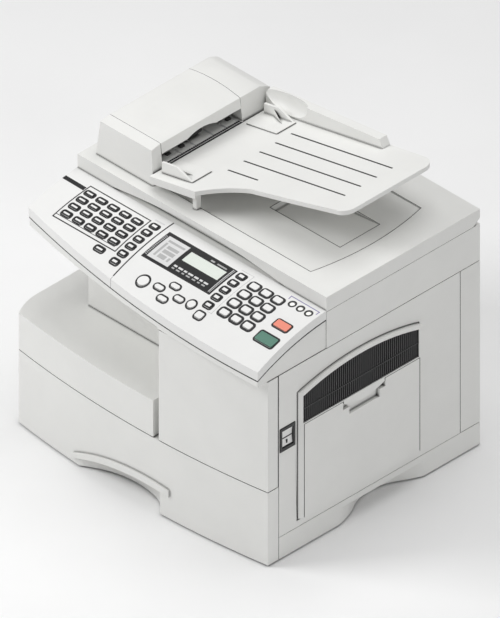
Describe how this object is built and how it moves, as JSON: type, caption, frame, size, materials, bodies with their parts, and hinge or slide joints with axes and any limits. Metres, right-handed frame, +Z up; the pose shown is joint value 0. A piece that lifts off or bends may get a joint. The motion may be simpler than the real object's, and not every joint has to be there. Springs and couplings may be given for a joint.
{
  "type": "fax machine",
  "caption": "Desktop laser fax and copier: hinged lid with document feeder, sloped control panel, paper cassette, front door and side bypass door.",
  "frame": {"origin": "middle of the footprint, on the plane the rubber feet stand on", "axes": "+X to the right seen from the front, +Y to the back, +Z up"},
  "size_m": [0.56, 0.4815, 0.5362],
  "materials": {
    "casing": "fine moulded grain",
    "panel": "fine moulded grain",
    "inner_grey": "smooth",
    "black_plastic": "gloss",
    "lcd": "satin",
    "key_grey": "satin",
    "key_green": "satin",
    "key_red": "satin",
    "lens": "gloss",
    "steel": "zinc plated",
    "glass": "polished",
    "roller_rubber": "matt",
    "foot_rubber": "matt",
    "foam_white": "smooth white backing",
    "board": "circuit board",
    "drum_coat": "gloss"
  },
  "bodies": {
    "chassis": {"base_frame": "casing", "feet": "foot_rubber", "right_cover": "casing", "left_cover": "casing", "rear_cover": "casing", "output_tray": "casing", "output_fence": "casing", "front_frame_plate": "steel", "rear_frame_plate": "steel", "laser_unit": "inner_grey", "toner_cartridge": "black_plastic", "main_motor": "steel", "main_board": "board", "power_supply": "board", "rear_sockets": "black_plastic", "switch_frame": "black_plastic", "scanner_base": "casing", "platen_glass": "glass", "scan_rods": "steel", "one_touch_cover": "panel", "panel_cover": "panel", "display_bezel": "black_plastic", "display_window": "lcd", "status_lights": "lens", "lid_hinges": "inner_grey"},
    "front_door": {"front_door": "casing"},
    "side_cover": {"side_cover": "casing", "vent_grille": "black_plastic"},
    "bypass_door": {"bypass_door": "casing"},
    "bypass_guide_front": {"bypass_guide_front": "inner_grey"},
    "bypass_guide_rear": {"bypass_guide_rear": "inner_grey"},
    "power_rocker": {"power_rocker": "key_grey"},
    "cassette": {"cassette_front": "casing", "cassette_tray": "inner_grey"},
    "lift_plate": {"lift_plate": "steel"},
    "width_guide_front": {"width_guide_front": "key_green"},
    "width_guide_rear": {"width_guide_rear": "key_green"},
    "pickup_roller": {"pickup_roller": "roller_rubber"},
    "bypass_roller": {"bypass_roller": "roller_rubber"},
    "drum": {"drum": "drum_coat"},
    "transfer_roller": {"transfer_roller": "roller_rubber"},
    "fuser_roller": {"fuser_roller": "black_plastic"},
    "exit_roller": {"exit_roller": "roller_rubber"},
    "scan_carriage": {"scan_carriage": "black_plastic"},
    "lid": {"lid_cover": "casing", "lid_pad": "foam_white", "adf_base": "casing", "adf_tray": "casing"},
    "adf_cover": {"adf_cover": "casing"},
    "adf_guide_front": {"adf_guide_front": "casing"},
    "adf_guide_rear": {"adf_guide_rear": "casing"},
    "adf_roller": {"adf_roller": "roller_rubber"},
    "start_key": {"start_key": "key_green"},
    "stop_key": {"stop_key": "key_red"},
    "number_keys": {"number_keys": "key_grey"},
    "one_touch_keys": {"one_touch_keys": "key_grey"},
    "function_keys": {"function_keys": "key_grey"},
    "menu_keys": {"menu_keys": "key_grey"},
    "mode_keys": {"mode_keys": "key_grey"}
  },
  "joints": [
    {"name": "lid_hinge", "type": "hinge", "parent": "chassis", "child": "lid", "pos_m": [0, 0.234, 0.424], "axis": [-1, 0, 0], "range_deg": [0, 70]},
    {"name": "adf_cover_hinge", "type": "hinge", "parent": "lid", "child": "adf_cover", "pos_m": [-0.239, 0, 0.462], "axis": [0, -1, 0], "range_deg": [0, 62]},
    {"name": "adf_guide_slide", "type": "slide", "parent": "lid", "child": "adf_guide_front", "axis": [0, 1, 0], "range_m": [0, 0.06]},
    {"name": "adf_guide_follow", "type": "slide", "parent": "lid", "child": "adf_guide_rear", "axis": [0, -1, 0], "range_m": [0, 0.06]},
    {"name": "cassette_slide", "type": "slide", "parent": "chassis", "child": "cassette", "axis": [0, -1, 0], "range_m": [0, 0.3]},
    {"name": "lift_plate_hinge", "type": "hinge", "parent": "cassette", "child": "lift_plate", "pos_m": [-0.09, 0, 0.052], "axis": [0, -1, 0], "range_deg": [0, 10]},
    {"name": "width_guide_slide", "type": "slide", "parent": "cassette", "child": "width_guide_front", "axis": [0, 1, 0], "range_m": [0, 0.045]},
    {"name": "width_guide_follow", "type": "slide", "parent": "cassette", "child": "width_guide_rear", "axis": [0, -1, 0], "range_m": [0, 0.045]},
    {"name": "side_cover_hinge", "type": "hinge", "parent": "chassis", "child": "side_cover", "pos_m": [0.275, 0, 0.064], "axis": [0, 1, 0], "range_deg": [0, 30]},
    {"name": "bypass_door_hinge", "type": "hinge", "parent": "side_cover", "child": "bypass_door", "pos_m": [0.275, 0, 0.064], "axis": [0, 1, 0], "range_deg": [0, 80]},
    {"name": "bypass_guide_slide", "type": "slide", "parent": "bypass_door", "child": "bypass_guide_front", "axis": [0, 1, 0], "range_m": [0, 0.05]},
    {"name": "bypass_guide_follow", "type": "slide", "parent": "bypass_door", "child": "bypass_guide_rear", "axis": [0, -1, 0], "range_m": [0, 0.05]},
    {"name": "front_door_hinge", "type": "hinge", "parent": "chassis", "child": "front_door", "pos_m": [0.2685, -0.201, 0.24], "axis": [0, 0, 1], "range_deg": [0, 100]},
    {"name": "power_switch_tilt", "type": "hinge", "parent": "chassis", "child": "power_rocker", "pos_m": [0.268, -0.175, 0.222], "axis": [0, 1, 0], "range_deg": [0, 12]},
    {"name": "start_key_press", "type": "slide", "parent": "chassis", "child": "start_key", "axis": [0, 0.2419, -0.9703], "range_m": [0, 0.002], "stiffness_N_per_m": 250, "springref_m": -0.0008},
    {"name": "stop_key_press", "type": "slide", "parent": "chassis", "child": "stop_key", "axis": [0, 0.2419, -0.9703], "range_m": [0, 0.002], "stiffness_N_per_m": 250, "springref_m": -0.0008},
    {"name": "number_keys_press", "type": "slide", "parent": "chassis", "child": "number_keys", "axis": [0, 0.2419, -0.9703], "range_m": [0, 0.002], "stiffness_N_per_m": 250, "springref_m": -0.0008},
    {"name": "one_touch_keys_press", "type": "slide", "parent": "chassis", "child": "one_touch_keys", "axis": [0, 0.2419, -0.9703], "range_m": [0, 0.002], "stiffness_N_per_m": 250, "springref_m": -0.0008},
    {"name": "function_keys_press", "type": "slide", "parent": "chassis", "child": "function_keys", "axis": [0, 0.2419, -0.9703], "range_m": [0, 0.002], "stiffness_N_per_m": 250, "springref_m": -0.0008},
    {"name": "menu_keys_press", "type": "slide", "parent": "chassis", "child": "menu_keys", "axis": [0, 0.2419, -0.9703], "range_m": [0, 0.002], "stiffness_N_per_m": 250, "springref_m": -0.0008},
    {"name": "mode_keys_press", "type": "slide", "parent": "chassis", "child": "mode_keys", "axis": [0, 0.2419, -0.9703], "range_m": [0, 0.002], "stiffness_N_per_m": 250, "springref_m": -0.0008},
    {"name": "pickup_roller_spin", "type": "hinge", "parent": "chassis", "child": "pickup_roller", "pos_m": [0.205, 0, 0.156], "axis": [0, 1, 0], "continuous": true},
    {"name": "bypass_roller_spin", "type": "hinge", "parent": "chassis", "child": "bypass_roller", "pos_m": [0.24, 0, 0.205], "axis": [0, 1, 0], "continuous": true},
    {"name": "drum_spin", "type": "hinge", "parent": "chassis", "child": "drum", "pos_m": [0.15, 0, 0.23], "axis": [0, 1, 0], "continuous": true},
    {"name": "transfer_roller_spin", "type": "hinge", "parent": "chassis", "child": "transfer_roller", "pos_m": [0.215, 0, 0.185], "axis": [0, 1, 0], "continuous": true},
    {"name": "fuser_roller_spin", "type": "hinge", "parent": "chassis", "child": "fuser_roller", "pos_m": [0.165, 0, 0.292], "axis": [0, 1, 0], "continuous": true},
    {"name": "exit_roller_spin", "type": "hinge", "parent": "chassis", "child": "exit_roller", "pos_m": [0.075, 0, 0.311], "axis": [0, 1, 0], "continuous": true},
    {"name": "adf_roller_spin", "type": "hinge", "parent": "lid", "child": "adf_roller", "pos_m": [-0.15, 0.03, 0.476], "axis": [0, 1, 0], "continuous": true},
    {"name": "scan_carriage_slide", "type": "slide", "parent": "chassis", "child": "scan_carriage", "axis": [1, 0, 0], "range_m": [0, 0.27]}
  ],
  "couplings": [
    {"joint": "adf_guide_follow", "follows": "adf_guide_slide", "ratio": 1},
    {"joint": "width_guide_follow", "follows": "width_guide_slide", "ratio": 1},
    {"joint": "bypass_guide_follow", "follows": "bypass_guide_slide", "ratio": 1},
    {"joint": "transfer_roller_spin", "follows": "drum_spin", "ratio": -1.5},
    {"joint": "fuser_roller_spin", "follows": "drum_spin", "ratio": -0.8824},
    {"joint": "exit_roller_spin", "follows": "drum_spin", "ratio": -1.875}
  ]
}
